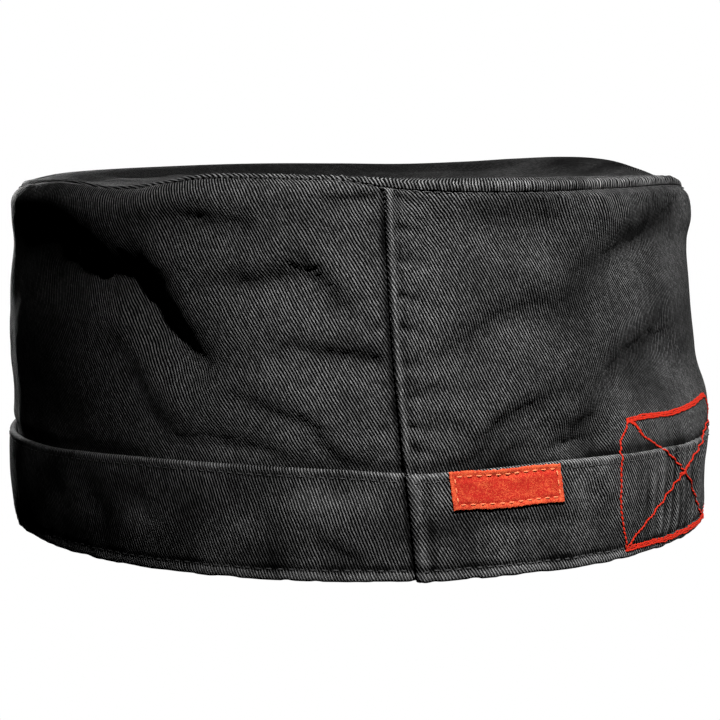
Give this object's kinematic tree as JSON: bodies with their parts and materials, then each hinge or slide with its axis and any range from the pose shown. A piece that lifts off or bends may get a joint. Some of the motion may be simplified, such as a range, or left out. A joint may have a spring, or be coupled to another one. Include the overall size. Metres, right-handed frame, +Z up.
{
  "type": "fatigue cap",
  "caption": "Soft round fatigue cap in washed twill: upright crown wall with a lapped back seam, flat sagging top, doubled band, small woven label and a short stiff peak.",
  "frame": {"origin": "middle of the head opening, on the surface that the cap rests on", "axes": "+Z up, +Y forwards towards the peak, -Y towards the back seam, +X to the side of the label"},
  "size_m": [0.1889, 0.2614, 0.0984],
  "materials": {
    "black_twill": "washed cotton twill, matt, faded along seams and ridges",
    "red_woven": "tight woven label cloth, matt"
  },
  "bodies": {
    "root": {"wall_left": "black_twill", "wall_right": "black_twill", "band_left": "black_twill", "band_right": "black_twill", "crown_top": "black_twill", "peak": "black_twill", "label": "red_woven"}
  },
  "joints": []
}
